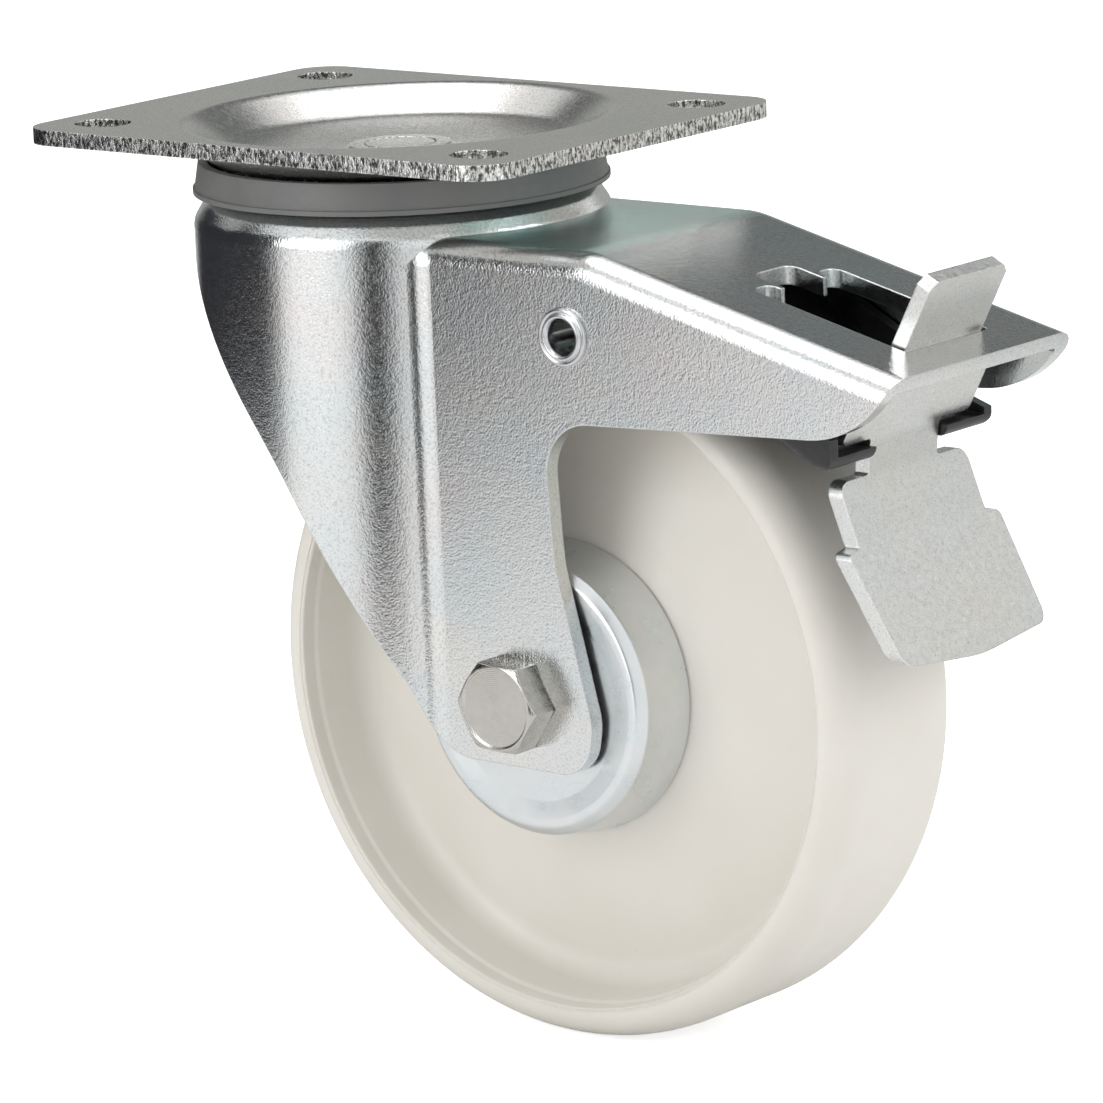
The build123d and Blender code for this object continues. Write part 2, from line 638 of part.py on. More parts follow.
def wheel():
    """Moulded wheel: tread, rim, conical web and hub in one piece."""
    hub_fit = CAP_SHEET + SLIDE
    hub_foot = cap_radius(WEB_HUB_HALF) - hub_fit
    rim_side = WHEEL_RADIUS - SHOULDER_DEPTH
    half = outline(
        (HUB_BORE_RADIUS, 0, 0),
        (WHEEL_RADIUS, 0, 0),
        (WHEEL_RADIUS, WHEEL_HALF_WIDTH, 0),
        (RIM_LIP_RADIUS + RIM_LIP_DROP, WHEEL_HALF_WIDTH, RIM_LIP_DROP / 2),
        (RIM_LIP_RADIUS, WHEEL_HALF_WIDTH - RIM_LIP_DROP, RIM_LIP_DROP / 2),
        (RIM_INNER_RADIUS, WEB_RIM_HALF, WEB_FILLET),
        (hub_foot, web_side(hub_foot), 0),
        (cap_radius(HUB_HALF_LENGTH) - hub_fit, HUB_HALF_LENGTH, HUB_EDGE),
        (BEARING_RADIUS + SLIDE, HUB_HALF_LENGTH, 0),
        (BEARING_RADIUS + SLIDE, BEARING_INNER_W, 0),
        (HUB_BORE_RADIUS, BEARING_INNER_W, 0),
    )
    # The tread's shoulder is a quarter of an ellipse
    past = WHEEL_RADIUS + SHOULDER_DEPTH
    shoulder = sharp(
        (rim_side, TREAD_HALF_WIDTH),
        (past, TREAD_HALF_WIDTH),
        (past, past),
        (rim_side, past),
    )
    round_part = Ellipse(SHOULDER_DEPTH, SHOULDER_WIDTH)
    half -= shoulder - Pos(rim_side, TREAD_HALF_WIDTH) * round_part
    side = turned(half)
    return ON_AXLE * (side + mirror(side, about=Plane.XY))


def hub_cap():
    """Pressed cup over the far bearing, seated on the hub."""
    inner_face = CAP_FACE_W - CAP_SHEET
    foot = web_side(cap_radius(WEB_HUB_HALF) - CAP_SHEET) + SLIDE
    section = outline(
        (cap_radius(foot), foot, 0),
        (CAP_FACE_RADIUS, CAP_FACE_W, CAP_EDGE_RADIUS),
        (CAP_HOLE_RADIUS, CAP_FACE_W, CAP_SHEET / 3),
        (CAP_HOLE_RADIUS, inner_face, 0),
        (cap_radius(inner_face) - CAP_SHEET, inner_face, CAP_EDGE_RADIUS - CAP_SHEET),
        (cap_radius(foot) - CAP_SHEET, foot, 0),
    )
    groove = turned(Pos(CAP_GROOVE_RADIUS, CAP_FACE_W) * Circle(CAP_GROOVE_WIDTH / 2))
    return ON_AXLE * (turned(section) - groove)


# Brake

def brake_plate():
    """Channel of spring sheet: two ears on the eyelets, a kneed web and a gap for the pedal."""
    knee = from_rear(KNEE)
    dip = from_rear(WEB_DIP)
    heel = from_rear(WEB_HEEL)
    end = from_rear(WEB_END)
    under = from_rear(WALL_UNDER)

    def walls(end_radius):
        return outline(
            (PIVOT_X - EAR_RADIUS, PIVOT_Z + EAR_RADIUS, EAR_RADIUS),
            (PIVOT_X + EAR_RADIUS, PIVOT_Z + EAR_RADIUS, EAR_RADIUS),
            from_rear(WALL_TOP_MID),
            (end[0], REAR_TOP_Z + WALL_TOP_REAR, 0),
            (end[0], end[1], end_radius),
            heel,
            dip,
            knee,
            under,
            (PIVOT_X + EAR_RADIUS, PIVOT_Z - EAR_RADIUS, EAR_RADIUS),
            (PIVOT_X - EAR_RADIUS, PIVOT_Z - EAR_RADIUS, EAR_RADIUS),
        )

    def on_fold(edge):
        middle = edge.center()
        inside = under[0] < middle.X < end[0] - TINY
        return inside and abs(middle.Y) > EAR_INNER_Y and middle.Z < under[1]

    block = slab(walls(0), SPRING_HALF_WIDTH)
    block = fillet(block.edges().filter_by(on_fold), SPRING_BEND_RADIUS)
    block &= slab(walls(end[2]), SPRING_HALF_WIDTH)

    # Web between the walls: straight down to the knee, a short flat, then the heel
    start_x = FORK_REAR_X + WEB_START
    slope = math.tan(math.radians(WEB_SLOPE_DEG))
    past_x = end[0] + SPRING_HALF_WIDTH
    under_face = FilletPolyline(
        (start_x, knee[1] + (knee[0] - start_x) * slope),
        knee[:2],
        dip[:2],
        heel[:2],
        (past_x, end[1]),
        radius=[knee[2], dip[2], heel[2]],
    )
    web = make_face(offset(under_face, amount=SPRING_SHEET, side=Side.LEFT))
    inside = Pos(PIVOT_X, 0, PIVOT_Z) * Box(2 * past_x, 2 * EAR_INNER_Y, 2 * past_x)
    plate = (block - inside) + (block & slab(web, SPRING_HALF_WIDTH))

    # The pedal's neck stands in a gap that is open to the rear
    gap_x = FORK_REAR_X + NECK_GAP_START
    gap_length = past_x - gap_x
    gap_width = 2 * (NECK_HALF_WIDTH + NECK_SIDE_GAP)
    gap = Pos(gap_x + gap_length / 2, 0, end[1]) * Box(gap_length, gap_width, 4 * EAR_RADIUS)
    return plate - gap - ON_PIVOT * Cylinder(EYELET_TUBE_RADIUS + SLIDE, 4 * FORK_HALF_WIDTH)


def brake_pedal():
    """Bent sheet: release tab, body, notched neck and foot plate."""
    places = [PEDAL_TOP, PEDAL_UPPER_BEND, PEDAL_LOWER_BEND, PEDAL_FOOT_BEND, PEDAL_END]
    path = FilletPolyline(*[from_rear(place) for place in places], radius=PEDAL_BEND_RADII)
    profile = make_face(offset(path, amount=PEDAL_SHEET, side=Side.RIGHT))
    half = [
        (TAB_HALF_WIDTH, PEDAL_TOP[1] + PEDAL_SHEET, 0),
        (TAB_HALF_WIDTH, TAB_FOOT, PEDAL_FINE_ROUNDING),
        (PEDAL_HALF_WIDTH, TAB_FOOT, PEDAL_ROUNDING),
        (PEDAL_HALF_WIDTH, NOTCH_TOP, PEDAL_STEP_ROUNDING),
        (NECK_HALF_WIDTH, NOTCH_TOP, PEDAL_FINE_ROUNDING),
        (NECK_HALF_WIDTH, NOTCH_LOW, PEDAL_FINE_ROUNDING),
        (PEDAL_HALF_WIDTH, NOTCH_LOW, FOOT_ROUNDING),
        (PEDAL_HALF_WIDTH, FOOT_STEP, FOOT_STEP_ROUNDING),
        (FOOT_HALF_WIDTH, FOOT_STEP - FOOT_STEP_SLANT, PEDAL_STEP_ROUNDING),
        (FOOT_END_HALF_WIDTH, FOOT_CORNER, FOOT_ROUNDING),
        (0, FOOT_END, FOOT_END_BOW),
    ]
    other = [(-y, z, radius) for y, z, radius in reversed(half[:-1])]
    front = Pos(0, REAR_TOP_Z) * outline(*half, *other)
    pedal = slab(profile, 2 * FOOT_HALF_WIDTH) & extrude(Plane.YZ * front, amount=2 * FORK_REAR_X)

    # The tab's two upper corners are cut off
    def on_tab_corner(edge):
        middle = edge.center()
        high = middle.Z > REAR_TOP_Z + PEDAL_TOP[1] - 2 * PEDAL_SHEET
        short = edge.length < PEDAL_SHEET + TINY
        return high and short and abs(abs(middle.Y) - TAB_HALF_WIDTH) < TINY

    return chamfer(pedal.edges().filter_by(on_tab_corner), TAB_CHAMFER)


NODES = {
    "top_plate": top_plate(),
    "kingpin": kingpin(),
    "kingpin_sleeve": kingpin_sleeve(),
    "lower_race": lower_race(),
    "upper_ball_row": swivel_balls(UPPER_PITCH_RADIUS, UPPER_BALL_Z),
    "lower_ball_row": swivel_balls(LOWER_PITCH_RADIUS, LOWER_BALL_Z),
    "seal_ring": seal_ring(),
    "fork": fork(),
    "axle_bolt": axle_bolt(),
    "axle_nut": axle_nut(),
    "axle_sleeve": axle_sleeve(),
    "bearing_spacer": bearing_spacer(),
    "wheel": wheel(),
    "brake_plate": brake_plate(),
    "brake_pedal": brake_pedal(),
}

# Parts that the near and the far side share
PAIRS = {
    "eyelet": eyelet(),
    "bearing_collar": bearing_collar(),
    "bearing_inner_ring": bearing_ring(BEARING_PITCH_RADIUS - RING_SHOULDER, SLEEVE_RADIUS + SLIDE),
    "bearing_outer_ring": bearing_ring(BEARING_RADIUS, BEARING_PITCH_RADIUS + RING_SHOULDER),
    "bearing_balls": bearing_balls(),
    "hub_cap": hub_cap(),
}
for name, far in PAIRS.items():
    NODES[name + "_far"] = far
    NODES[name + "_near"] = near_twin(far)

os.makedirs("parts", exist_ok=True)
for name, solid in NODES.items():
    export_step(solid, f"parts/{name}.step")
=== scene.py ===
# %% [markdown]
# # A swivel castor, dressed for its photograph
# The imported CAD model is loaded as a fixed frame. This lesson gives every part its finish,
# models the round and threaded parts again with finer forms, and lights them as a product
# photographer lights bright zinc: white all round, with a few dark cards for contrast.

# %% Load the frame
import math
import bpy
from mathutils import Matrix, Vector


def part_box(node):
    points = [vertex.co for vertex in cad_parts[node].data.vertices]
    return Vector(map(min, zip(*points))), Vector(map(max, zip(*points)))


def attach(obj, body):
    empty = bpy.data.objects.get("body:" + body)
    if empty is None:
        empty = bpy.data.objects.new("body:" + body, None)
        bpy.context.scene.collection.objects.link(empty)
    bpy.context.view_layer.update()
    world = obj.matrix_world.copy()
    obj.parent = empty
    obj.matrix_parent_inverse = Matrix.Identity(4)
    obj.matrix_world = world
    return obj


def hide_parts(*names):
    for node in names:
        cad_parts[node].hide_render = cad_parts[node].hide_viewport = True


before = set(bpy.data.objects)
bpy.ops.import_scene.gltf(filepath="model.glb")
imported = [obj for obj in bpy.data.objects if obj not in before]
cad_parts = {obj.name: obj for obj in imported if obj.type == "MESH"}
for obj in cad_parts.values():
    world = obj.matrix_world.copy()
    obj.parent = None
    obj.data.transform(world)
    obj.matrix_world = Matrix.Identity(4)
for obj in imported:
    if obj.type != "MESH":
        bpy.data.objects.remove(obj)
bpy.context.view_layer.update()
MM = 0.001

# %% [markdown]
# ## Places that every step shares
# The castor's own origin is the middle of the plate's top face, on the swivel axis. The
# wheel, its caps and its bolt are round about the axle, so their places start from there.
# Taking a place from a node's box keeps it right when the CAD changes.

# %% Places
wheel_low, wheel_high = (Vector(corner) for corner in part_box("wheel"))
AXLE = (wheel_low + wheel_high) / 2
WHEEL_RADIUS = (wheel_high.z - wheel_low.z) / 2
FLOOR_Z = wheel_low.z
print("axle:", tuple(AXLE), "wheel radius:", WHEEL_RADIUS)

# %% [markdown]
# ## Camera
# The photograph was taken from 39 degrees round and 12 degrees up, with a long lens that
# keeps the plate's edges nearly parallel, and it is turned by 2.4 degrees. The camera's
# axes are built by hand, because aiming at a target alone can't hold that turn.

# %% Camera
EYE = Vector((1.0088, -1.1920, 0.2328))
TARGET = Vector((0.03869, 0.0, -0.09643))
ROLL = math.radians(-2.426)
FOCAL_LENGTH = 229.73

forward = (TARGET - EYE).normalized()
level = forward.cross(Vector((0, 0, 1))).normalized()
upright = level.cross(forward)
right = math.cos(ROLL) * level + math.sin(ROLL) * upright
up = math.cos(ROLL) * upright - math.sin(ROLL) * level

lens = bpy.data.cameras.new("photo_camera")
lens.lens = FOCAL_LENGTH
lens.sensor_width = 36.0
lens.clip_start = 0.01
camera = bpy.data.objects.new("photo_camera", lens)
camera.matrix_world = Matrix((
    (right.x, up.x, -forward.x, EYE.x),
    (right.y, up.y, -forward.y, EYE.y),
    (right.z, up.z, -forward.z, EYE.z),
    (0, 0, 0, 1),
))
bpy.context.collection.objects.link(camera)
bpy.context.scene.camera = camera

# %% [markdown]
# ## Node helpers
# Each finish is a small node tree. A few helpers keep the trees readable: one adds a node
# with its settings, one makes a noise on Object coordinates, one maps a value to a range.
# Object coordinates are used throughout, so no pattern slides when the view changes.

# %% Node helpers
def add_node(material, kind, inputs=None, **settings):
    """Add a node, set its properties, and set or link its inputs."""
    node = material.node_tree.nodes.new(kind)
    for name, value in settings.items():
        setattr(node, name, value)
    for name, value in (inputs or {}).items():
        if isinstance(value, bpy.types.NodeSocket):
            material.node_tree.links.new(value, node.inputs[name])
        else:
            node.inputs[name].default_value = value
    return node


def new_finish(name, metallic, roughness):
    """A material whose shader's constants are set on its own sockets."""
    material = bpy.data.materials.new(name)
    material.use_nodes = True
    shader = material.node_tree.nodes["Principled BSDF"]
    shader.inputs["Metallic"].default_value = metallic
    shader.inputs["Roughness"].default_value = roughness
    return material


def feed(material, name, socket):
    """Link a socket into the material's shader."""
    shader = material.node_tree.nodes["Principled BSDF"]
    material.node_tree.links.new(socket, shader.inputs[name])


def show(material, node):
    """Link a shader node to the material's output."""
    output = material.node_tree.nodes["Material Output"]
    material.node_tree.links.new(node.outputs[0], output.inputs["Surface"])


def fed(material, name):
    """The socket that is linked into the material's shader."""
    shader = material.node_tree.nodes["Principled BSDF"]
    return shader.inputs[name].links[0].from_socket


def place_of(material, stretch=(1, 1, 1)):
    """Object coordinates, stretched by a Mapping node."""
    coordinates = add_node(material, "ShaderNodeTexCoord").outputs["Object"]
    mapping = {"Vector": coordinates, "Scale": stretch}
    return add_node(material, "ShaderNodeMapping", mapping).outputs["Vector"]


def noise(material, size_mm, detail, rough, stretch=(1, 1, 1)):
    """Noise whose blobs are about size_mm wide."""
    inputs = {"Vector": place_of(material, stretch), "Scale": 1 / (size_mm * MM),
              "Detail": detail, "Roughness": rough}
    return add_node(material, "ShaderNodeTexNoise", inputs).outputs["Fac"]


def ranged(material, value, from_low, from_high, to_low=0.0, to_high=1.0):
    """Map a value from one range to another, held at both ends."""
    inputs = {"Value": value, "From Min": from_low, "From Max": from_high,
              "To Min": to_low, "To Max": to_high}
    return add_node(material, "ShaderNodeMapRange", inputs).outputs["Result"]


def calc(material, operation, first, second=0.0):
    """One step of arithmetic; a value is a number or a socket."""
    node = add_node(material, "ShaderNodeMath", {0: first, 1: second}, operation=operation)
    return node.outputs["Value"]


def times(material, first, second):
    """The product of two values."""
    return calc(material, "MULTIPLY", first, second)


def blend_colour(material, share, first, second):
    """Mix two colours by a share; a colour is a tuple or a socket."""
    inputs = {0: share}
    for index, colour in ((6, first), (7, second)):
        inputs[index] = (*colour, 1.0) if isinstance(colour, tuple) else colour
    return add_node(material, "ShaderNodeMix", inputs, data_type="RGBA").outputs[2]


def bump(material, height, depth_mm, below):
    """Turn a height into a shading normal, on top of another normal."""
    inputs = {"Height": height, "Distance": depth_mm * MM, "Strength": 1.0, "Normal": below}
    return add_node(material, "ShaderNodeBump", inputs).outputs["Normal"]


def rounded_normal(material, radius_mm):
    """A normal that rounds sharp edges, as a press or a tumbling drum leaves them."""
    bevel = add_node(material, "ShaderNodeBevel", {"Radius": radius_mm * MM}, samples=4)
    return bevel.outputs["Normal"]


def edge_share(material, rounded):
    """Near 1 on a rounded edge, 0 on the faces: how far the rounded normal leans away."""
    true_normal = add_node(material, "ShaderNodeNewGeometry").outputs["Normal"]
    across = add_node(
        material, "ShaderNodeVectorMath", {0: rounded, 1: true_normal}, operation="DOT_PRODUCT")
    return ranged(material, across.outputs["Value"], 0.995, 0.90)

# %% [markdown]
# ## Bright zinc plating
# The pressed steel is zinc plated and clear passivated. Close to, it is a fine grain of
# crystals that breaks each reflection into light and dark specks, with faint blue, green
# and pink clouds where the passivation is thicker. A flat grey metal would look like
# plastic foil, so the finish is built from several noises: grain in the normal, mottling
# in the roughness, and clouds in the colour. Sheet edges are sheared: short dark and bright
# streaks across the thickness, found by the direction that the surface faces. In the same
# way the fork's level faces get a blue-green film.

# %% Bright zinc plating
PIT_GREY = (0.30, 0.31, 0.32)
RUBBED_EDGE = (0.86, 0.87, 0.86)
TORN_GREY = (0.11, 0.11, 0.105)
SHEARED_BRIGHT = (0.95, 0.95, 0.93)
TEAL_FILM = (0.58, 0.86, 0.83)


def zinc_finish(name, cool, warm, rough, grain_depth, grain_mm, tint, pitted):
    """Zinc plating: clouds from cool to warm, films by tint, and grain with darker pits."""
    material = new_finish(name, 1.0, 0.28)
    grain = noise(material, grain_mm, 2.5, 0.65)
    mottle = noise(material, 1.3, 3.0, 0.6)
    cloud = noise(material, 24.0, 2.0, 0.55)
    drift = noise(material, 55.0, 2.0, 0.5, (1.0, 0.6, 1.4))

    # Colour: cool and warm clouds, thin teal and pink films, darker pits in the grain
    colour = blend_colour(material, ranged(material, cloud, 0.35, 0.65), cool, warm)
    teal = ranged(material, drift, 0.55, 0.72, 0.0, tint)
    colour = blend_colour(material, teal, colour, (0.56, 0.68, 0.69))
    pink = ranged(material, drift, 0.42, 0.30, 0.0, tint * 0.7)
    colour = blend_colour(material, pink, colour, (0.77, 0.69, 0.70))
    pits = ranged(material, grain, 0.50, 0.32, 0.0, pitted)
    colour = blend_colour(material, pits, colour, PIT_GREY)

    # Edges: rounded by a bevelled normal and rubbed a little brighter
    rounded = rounded_normal(material, 0.45)
    edge = edge_share(material, rounded)
    colour = blend_colour(material, times(material, edge, 0.55), colour, RUBBED_EDGE)
    height = calc(material, "ADD", grain, times(material, mottle, 0.8))
    feed(material, "Base Color", colour)
    feed(material, "Roughness", ranged(material, mottle, 0.32, 0.68, *rough))
    feed(material, "Normal", bump(material, height, grain_depth, rounded))
    return material


def shear_streaks(material, share, along, depth_mm):
    """Lay sheared-edge streaks over a finish where share is 1."""
    colour, normal = fed(material, "Base Color"), fed(material, "Normal")
    streak = noise(material, 0.8, 3.0, 0.7, along)
    torn = times(material, ranged(material, streak, 0.50, 0.43), share)
    bright = times(material, ranged(material, streak, 0.53, 0.60), share)
    colour = blend_colour(material, torn, colour, TORN_GREY)
    feed(material, "Base Color", blend_colour(material, bright, colour, SHEARED_BRIGHT))
    feed(material, "Normal", bump(material, times(material, streak, share), depth_mm, normal))


def facing_away(material, axis, low, high):
    """1 where the surface faces away from an axis, 0 where it faces along it."""
    normal = add_node(material, "ShaderNodeTexCoord").outputs["Normal"]
    split = add_node(material, "ShaderNodeSeparateXYZ", {"Vector": normal})
    size = calc(material, "ABSOLUTE", split.outputs[axis])
    return ranged(material, size, high, low)


def teal_film(material):
    """A blue-green passivation film, thickest on the faces that lie level."""
    level = calc(material, "SUBTRACT", 1.0, facing_away(material, "Z", 0.975, 0.998))
    patch = ranged(material, noise(material, 16.0, 3.0, 0.6), 0.35, 0.62, 0.45, 0.9)
    share = times(material, level, patch)
    colour = blend_colour(material, share, fed(material, "Base Color"), TEAL_FILM)
    feed(material, "Base Color", colour)


plate_zinc = zinc_finish(
    "plate_zinc", (0.66, 0.66, 0.64), (0.70, 0.68, 0.655), rough=(0.18, 0.28),
    grain_depth=0.030, grain_mm=0.42, tint=0.2, pitted=0.6)
shear_streaks(plate_zinc, facing_away(plate_zinc, "Z", 0.25, 0.45), (1.0, 1.0, 0.5), 0.15)
fork_zinc = zinc_finish(
    "fork_zinc", (0.70, 0.735, 0.745), (0.755, 0.75, 0.73), rough=(0.11, 0.19),
    grain_depth=0.050, grain_mm=0.5, tint=0.5, pitted=0.5)
teal_film(fork_zinc)
pedal_zinc = zinc_finish(
    "pedal_zinc", (0.74, 0.755, 0.75), (0.76, 0.755, 0.73), rough=(0.26, 0.38),
    grain_depth=0.022, grain_mm=0.42, tint=0.3, pitted=0.4)
print("zinc finishes:", plate_zinc.name, fork_zinc.name, pedal_zinc.name)

# %% [markdown]
# ## Satin cap zinc
# The hub caps are drawn from thin bright strip: smoother than the fork, with a satin bloom
# and a faint blue. A few stains are left where the pickling bath dried.

# %% Satin cap zinc
cap_zinc = new_finish("cap_zinc", 1.0, 0.3)
bloom = noise(cap_zinc, 9.0, 3.0, 0.6)
cap_grain = noise(cap_zinc, 0.5, 2.0, 0.6)
cap_tone = blend_colour(
    cap_zinc, ranged(cap_zinc, bloom, 0.35, 0.65), (0.70, 0.745, 0.765), (0.77, 0.785, 0.785))
stain = ranged(cap_zinc, noise(cap_zinc, 3.2, 4.0, 0.7), 0.66, 0.74, 0.0, 0.35)
cap_tone = blend_colour(cap_zinc, stain, cap_tone, (0.58, 0.60, 0.60))
feed(cap_zinc, "Base Color", cap_tone)
feed(cap_zinc, "Roughness", ranged(cap_zinc, bloom, 0.3, 0.7, 0.24, 0.38))
feed(cap_zinc, "Normal", bump(cap_zinc, cap_grain, 0.006, rounded_normal(cap_zinc, 0.3)))

# %% [markdown]
# ## Turned and ground steel
# The bolt's face is turned, so it carries fine rings round its own axis, and its plating is
# warmer than the zinc round it. The eyelets, races and balls are plain ground steel.

# %% Turned and ground steel
def turned_waves(material, centre, pitch_mm):
    """Waves round the axle: the tool marks of a turned face."""
    place = add_node(material, "ShaderNodeTexCoord").outputs["Object"]
    shift = add_node(material, "ShaderNodeVectorMath", {0: place, 1: centre}, operation="SUBTRACT")
    split = add_node(material, "ShaderNodeSeparateXYZ", {"Vector": shift.outputs["Vector"]})
    across = times(material, split.outputs["X"], split.outputs["X"])
    upward = times(material, split.outputs["Z"], split.outputs["Z"])
    radius = calc(material, "SQRT", calc(material, "ADD", across, upward))
    return calc(material, "SINE", times(material, radius, math.tau / (pitch_mm * MM)))


def turned_steel(name, cool, warm, rough, ring_depth):
    """Bright steel with turning marks and a fine grain."""
    material = new_finish(name, 1.0, 0.25)
    rings = turned_waves(material, AXLE, 0.45)
    mottle = noise(material, 1.8, 3.0, 0.6)
    grain = noise(material, 0.5, 2.0, 0.6)
    height = calc(material, "ADD", times(material, rings, 0.35), grain)
    rounded = rounded_normal(material, 0.35)
    edge = times(material, edge_share(material, rounded), 0.6)
    colour = blend_colour(material, ranged(material, mottle, 0.35, 0.65), cool, warm)
    colour = blend_colour(material, edge, colour, (0.85, 0.84, 0.82))
    feed(material, "Base Color", colour)
    feed(material, "Roughness", ranged(material, mottle, 0.3, 0.7, *rough))
    feed(material, "Normal", bump(material, height, ring_depth, rounded))
    return material


bolt_steel = turned_steel(
    "bolt_plating", (0.50, 0.485, 0.455), (0.57, 0.55, 0.51), (0.15, 0.26), 0.010)
race_steel = turned_steel(
    "race_steel", (0.60, 0.61, 0.63), (0.66, 0.66, 0.67), (0.16, 0.26), 0.004)
print("steels:", bolt_steel.name, race_steel.name)

# %% [markdown]
# ## Black spring sheet
# The brake plate is hardened spring sheet with a satin black coat. The coat is thin: its
# edges are rubbed to a dark grey, and its surface is slightly orange-peeled.

# %% Black spring sheet
black_coat = new_finish("black_coat", 0.0, 0.35)
peel = noise(black_coat, 1.1, 3.0, 0.55)
smear = noise(black_coat, 7.0, 3.0, 0.6)
coat_rounded = rounded_normal(black_coat, 0.4)
coat_edge = edge_share(black_coat, coat_rounded)
coat = blend_colour(
    black_coat, ranged(black_coat, smear, 0.35, 0.7), (0.012, 0.012, 0.013), (0.028, 0.028, 0.030))
coat = blend_colour(black_coat, times(black_coat, coat_edge, 0.5), coat, (0.10, 0.10, 0.10))
feed(black_coat, "Base Color", coat)
feed(black_coat, "Roughness", ranged(black_coat, smear, 0.3, 0.7, 0.28, 0.46))
feed(black_coat, "Normal", bump(black_coat, peel, 0.02, coat_rounded))

# %% [markdown]
# ## Grey moulded ring
# The seal ring is moulded, not painted, so its colour goes all through. It is matte, with
# very fine marks that the mould leaves round it.

# %% Grey moulded ring
ring_plastic = new_finish("ring_plastic", 0.0, 0.5)
ring_cloud = noise(ring_plastic, 12.0, 3.0, 0.6)
ring_marks = noise(ring_plastic, 0.6, 2.0, 0.5, (0.25, 0.25, 1.6))
ring_tone = blend_colour(
    ring_plastic, ranged(ring_plastic, ring_cloud, 0.3, 0.7),
    (0.145, 0.150, 0.149), (0.175, 0.175, 0.168))
ring_rounded = rounded_normal(ring_plastic, 0.25)
feed(ring_plastic, "Base Color", ring_tone)
feed(ring_plastic, "Roughness", ranged(ring_plastic, ring_marks, 0.3, 0.7, 0.42, 0.58))
feed(ring_plastic, "Normal", bump(ring_plastic, ring_marks, 0.012, ring_rounded))

# %% [markdown]
# ## Off-white moulded wheel
# The wheel is a warm off-white with a soft sheen. Light goes a few millimetres into it, and
# it has slight flow clouds and a few dark specks.

# %% Off-white moulded wheel
wheel_plastic = new_finish("wheel_plastic", 0.0, 0.42)
flow = noise(wheel_plastic, 38.0, 2.0, 0.5)
tone = blend_colour(
    wheel_plastic, ranged(wheel_plastic, flow, 0.3, 0.7), (0.77, 0.74, 0.675), (0.81, 0.785, 0.73))
cells = {"Vector": place_of(wheel_plastic), "Scale": 95.0}
speck_cells = add_node(wheel_plastic, "ShaderNodeTexVoronoi", cells)
speck = ranged(wheel_plastic, speck_cells.outputs["Distance"], 0.030, 0.018)
rare = ranged(wheel_plastic, noise(wheel_plastic, 16.0, 1.0, 0.5), 0.50, 0.56)
speck = times(wheel_plastic, speck, times(wheel_plastic, rare, 0.65))
tone = blend_colour(wheel_plastic, speck, tone, (0.22, 0.20, 0.18))
skin = noise(wheel_plastic, 0.7, 3.0, 0.6)
sheen = noise(wheel_plastic, 6.0, 3.0, 0.6)
feed(wheel_plastic, "Base Color", tone)
feed(wheel_plastic, "Roughness", ranged(wheel_plastic, sheen, 0.3, 0.7, 0.36, 0.52))
feed(wheel_plastic, "Normal", bump(wheel_plastic, skin, 0.006, rounded_normal(wheel_plastic, 0.3)))
shader = wheel_plastic.node_tree.nodes["Principled BSDF"]
shader.inputs["Subsurface Weight"].default_value = 0.12
shader.inputs["Subsurface Radius"].default_value = (0.004, 0.003, 0.002)
shader.inputs["Subsurface Scale"].default_value = 1.0

# %% [markdown]
# ## Round parts, turned ring by ring
# A turned or pressed round part is easiest to model the way a lathe makes it. One circle of
# edges is laid round the axle, extruded, and scaled to the next radius, again and again,
# until the last ring meets the first. The profile is given in mm, as a few corners of
# (radius, distance from the wheel's middle, rounding), and each rounding becomes an arc.

# %% Turning helpers
SMOOTH = math.radians(32)
MERGE = 0.002 * MM


def select_only(piece):
    """Make one piece the only selected and the active one."""
    bpy.ops.object.select_all(action="DESELECT")
    piece.select_set(True)
    bpy.context.view_layer.objects.active = piece


def opened(corners):
    """Profile in metres, with each corner's rounding opened into an arc."""
    points = []
    for index, (radius, width, rounding) in enumerate(corners):
        here = Vector((radius, width)) * MM
        if not rounding:
            points.append(here)
            continue
        before = (Vector(corners[index - 1][:2]) * MM - here).normalized()
        after = (Vector(corners[(index + 1) % len(corners)][:2]) * MM - here).normalized()
        half = before.angle(after) / 2
        run = rounding * MM / math.tan(half)
        centre = here + (before + after).normalized() * rounding * MM / math.sin(half)
        first = here + before * run - centre
        last = here + after * run - centre
        sweep = first.angle(last)
        steps = max(2, math.ceil(math.degrees(sweep) / 15))
        for step in range(steps + 1):
            share = step / steps
            arm = first * math.sin((1 - share) * sweep) + last * math.sin(share * sweep)
            points.append(centre + arm / math.sin(sweep))
    return points


